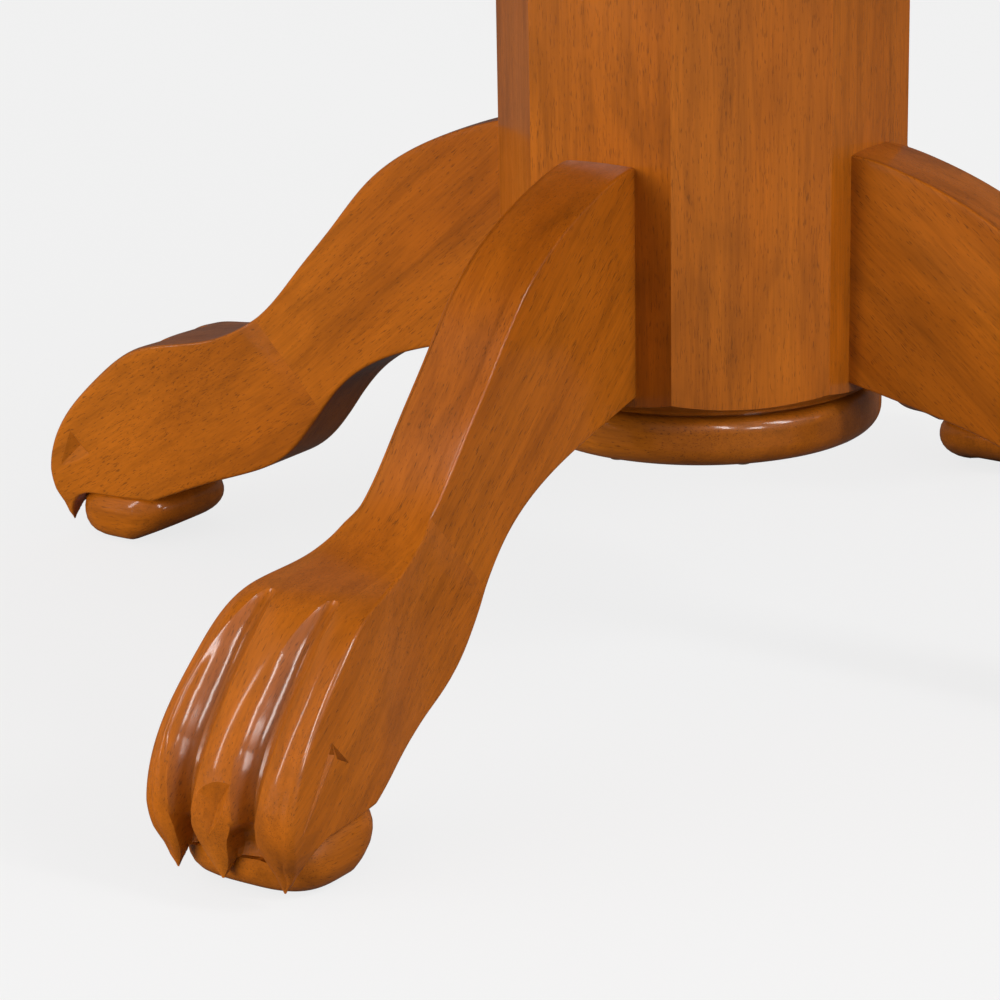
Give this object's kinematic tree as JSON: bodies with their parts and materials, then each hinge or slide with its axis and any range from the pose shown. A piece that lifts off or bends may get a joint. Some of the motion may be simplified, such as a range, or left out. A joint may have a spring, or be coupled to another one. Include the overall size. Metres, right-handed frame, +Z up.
{
  "type": "round pedestal table",
  "caption": "Round wooden dining table on an octagonal column with four curved legs and carved paw feet.",
  "frame": {"origin": "on the floor, on the axis of the column", "axes": "+Z up along the column; the four legs point along -Y (front), -X (left), +X (right) and +Y (back); the boards of the top run along Y"},
  "size_m": [1.2198, 1.22, 0.762],
  "materials": {
    "oak_top": "golden oak stain under satin lacquer",
    "oak_column": "golden oak stain under satin lacquer",
    "oak_ring": "golden oak stain under satin lacquer",
    "oak_plate": "stained, one thin coat",
    "oak_leg": "golden oak stain under satin lacquer",
    "nylon": "brown nylon",
    "zinc_steel": "bright zinc plate",
    "screw_steel": "yellow zinc plate"
  },
  "bodies": {
    "root": {"base_ring": "oak_ring", "column_stave_1": "oak_column", "column_stave_2": "oak_column", "column_stave_3": "oak_column", "column_stave_4": "oak_column", "column_stave_5": "oak_column", "column_stave_6": "oak_column", "column_stave_7": "oak_column", "column_stave_8": "oak_column", "flat_washers": "zinc_steel", "foot_glides": "nylon", "glide_nails": "screw_steel", "hex_nuts": "zinc_steel", "leg_back_cheek_left": "oak_leg", "leg_back_cheek_right": "oak_leg", "leg_back_core": "oak_leg", "leg_back_pad": "oak_leg", "leg_bolts": "zinc_steel", "leg_front_cheek_left": "oak_leg", "leg_front_cheek_right": "oak_leg", "leg_front_core": "oak_leg", "leg_front_pad": "oak_leg", "leg_left_cheek_left": "oak_leg", "leg_left_cheek_right": "oak_leg", "leg_left_core": "oak_leg", "leg_left_pad": "oak_leg", "leg_right_cheek_left": "oak_leg", "leg_right_cheek_right": "oak_leg", "leg_right_core": "oak_leg", "leg_right_pad": "oak_leg", "lock_washers": "zinc_steel", "mounting_plate": "oak_plate", "plate_screws": "screw_steel", "ring_screws": "screw_steel", "top_board_1": "oak_top", "top_board_2": "oak_top", "top_board_3": "oak_top", "top_board_4": "oak_top", "top_board_5": "oak_top", "top_board_6": "oak_top", "top_board_7": "oak_top", "top_board_8": "oak_top", "top_board_9": "oak_top", "top_screws": "screw_steel"}
  },
  "joints": []
}
